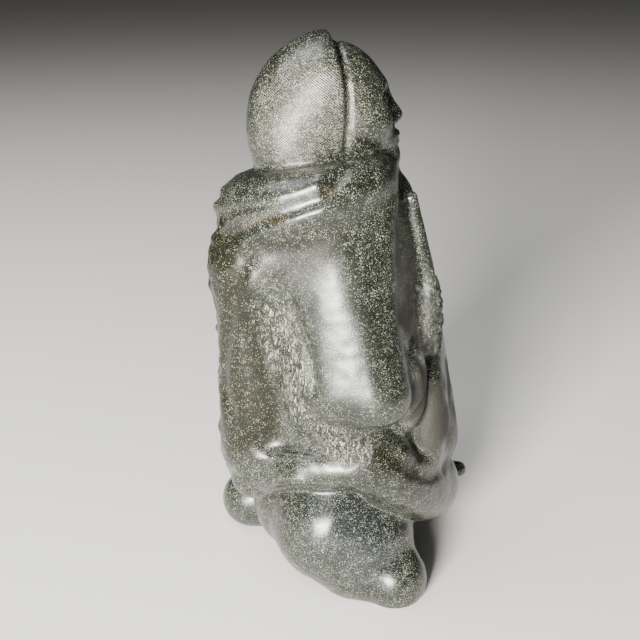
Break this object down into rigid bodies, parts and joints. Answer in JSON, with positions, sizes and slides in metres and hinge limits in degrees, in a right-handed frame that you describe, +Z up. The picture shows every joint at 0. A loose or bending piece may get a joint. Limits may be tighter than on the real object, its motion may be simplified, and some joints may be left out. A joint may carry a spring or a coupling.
{
  "type": "seated figure sculpture",
  "caption": "Carved stone figure of a person sitting on folded legs in a wide hooded coat, one solid piece that stands on the flat undersides of its legs.",
  "frame": {"origin": "middle of the bounding box in X and Y, on the flat underside of the legs", "axes": "+X the way the figure faces, +Y towards its left side, +Z up"},
  "size_m": [0.1494, 0.1254, 0.2999],
  "materials": {
    "carved_stone": "polished, with tool-marked hollows"
  },
  "bodies": {
    "root": {"seated_figure": "carved_stone"}
  },
  "joints": []
}
